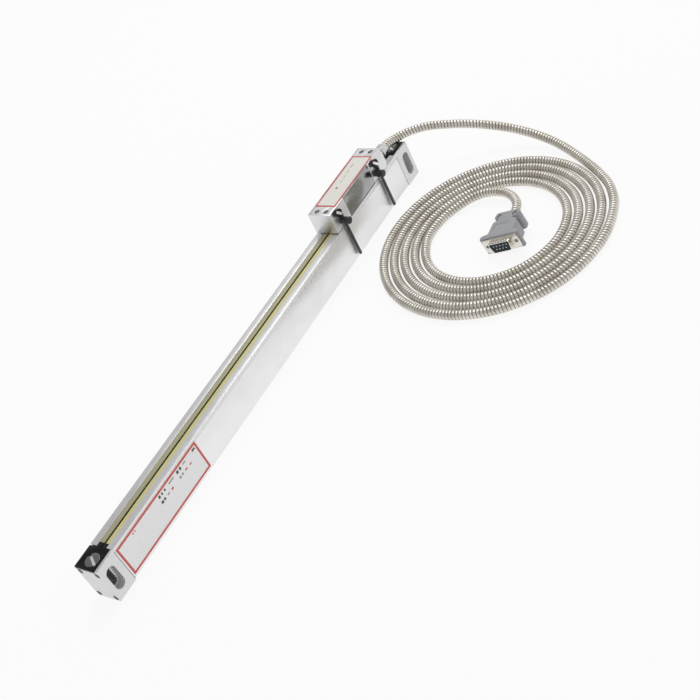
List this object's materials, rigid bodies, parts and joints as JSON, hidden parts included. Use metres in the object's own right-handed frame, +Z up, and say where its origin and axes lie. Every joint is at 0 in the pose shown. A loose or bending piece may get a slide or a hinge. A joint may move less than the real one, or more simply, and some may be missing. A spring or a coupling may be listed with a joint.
{
  "type": "enclosed magnetic linear encoder",
  "caption": "Enclosed linear encoder: slotted aluminium scale with sealing lips, a sliding reader head with transport clips, and a coiled metal hose ending in a D-shaped plug.",
  "frame": {"origin": "on the standing plane of the end blocks, below the near mounting slot, at mid width", "axes": "+X along the scale towards the end where the hose leaves the head, +Z up through the slit, -Y out of the front side that carries the label"},
  "size_m": [0.4894, 0.2293, 0.0516],
  "materials": {
    "profile_aluminium": "drawn, clear anodised, fine lines along the profile",
    "block_aluminium": "milled and clear anodised, satin",
    "head_aluminium": "milled and clear anodised, satin",
    "cover_steel": "polished sheet",
    "cap_plastic": "moulded, fine grain",
    "clip_plastic": "moulded, satin",
    "screw_steel": "turned head",
    "dark_screw_steel": "black oxide",
    "lip_rubber": "smooth, slightly glossy",
    "gasket_rubber": "matt",
    "label_film": "silver printed film",
    "tape_steel": "rolled strip",
    "tape_magnet": "matt",
    "board_green": "solder mask",
    "chip_black": "moulded",
    "flex_amber": "film",
    "carriage_aluminium": "milled",
    "blade_steel": "ground",
    "roller_plastic": "turned",
    "gland_metal": "turned, nickel plated",
    "hose_metal": "wound steel strip, ribbed",
    "hood_grey": "moulded, fine grain",
    "plug_steel": "tin plated, drawn",
    "insert_blue": "moulded",
    "pin_gold": "plated"
  },
  "bodies": {
    "scale": {"housing_profile": "profile_aluminium", "front_seal_lip": "lip_rubber", "rear_seal_lip": "lip_rubber", "tape_carrier": "tape_steel", "magnetic_tape": "tape_magnet", "side_label": "label_film", "near_end_block": "block_aluminium", "near_block_screws": "dark_screw_steel", "near_end_gasket": "gasket_rubber", "near_end_cap": "cap_plastic", "near_plug_screw": "screw_steel", "far_end_block": "block_aluminium", "far_block_screws": "dark_screw_steel", "far_end_gasket": "gasket_rubber", "far_end_cap": "cap_plastic", "far_plug_screw": "screw_steel"},
    "reader_head": {"head_body": "head_aluminium", "head_cover": "cover_steel", "head_label": "label_film", "head_base_plate": "head_aluminium", "head_base_seal": "gasket_rubber", "base_plate_screws": "screw_steel", "head_board": "board_green", "board_chips": "chip_black", "cable_gland": "gland_metal", "gland_nut": "dark_screw_steel", "gland_plate": "head_aluminium", "gland_plate_screws": "dark_screw_steel", "scanning_carriage": "carriage_aluminium", "coupling_blade": "blade_steel", "sensor_board": "board_green", "sensor_chip": "chip_black", "sensor_flex": "flex_amber", "near_transport_clip": "clip_plastic", "near_clip_screw": "dark_screw_steel", "near_clip_stud": "clip_plastic", "far_transport_clip": "clip_plastic", "far_clip_screw": "dark_screw_steel", "far_clip_stud": "clip_plastic", "cable_lead": "hose_metal", "cable_coil": "hose_metal", "cable_tail": "hose_metal", "plug_hood_upper": "hood_grey", "plug_hood_lower": "hood_grey", "hood_screws": "screw_steel", "plug_shell": "plug_steel", "plug_insert": "insert_blue", "plug_pins": "pin_gold"},
    "near_wheelset": {"near_axle": "blade_steel", "near_rollers": "roller_plastic"},
    "far_wheelset": {"far_axle": "blade_steel", "far_rollers": "roller_plastic"}
  },
  "joints": [
    {"name": "head_slide", "type": "slide", "parent": "scale", "child": "reader_head", "axis": [1, 0, 0], "range_m": [-0.3, 0.01]},
    {"name": "near_wheel_spin", "type": "hinge", "parent": "reader_head", "child": "near_wheelset", "pos_m": [0.341, 0, 0.00785], "axis": [0, 1, 0], "continuous": true},
    {"name": "far_wheel_spin", "type": "hinge", "parent": "reader_head", "child": "far_wheelset", "pos_m": [0.389, 0, 0.00785], "axis": [0, 1, 0], "continuous": true}
  ]
}
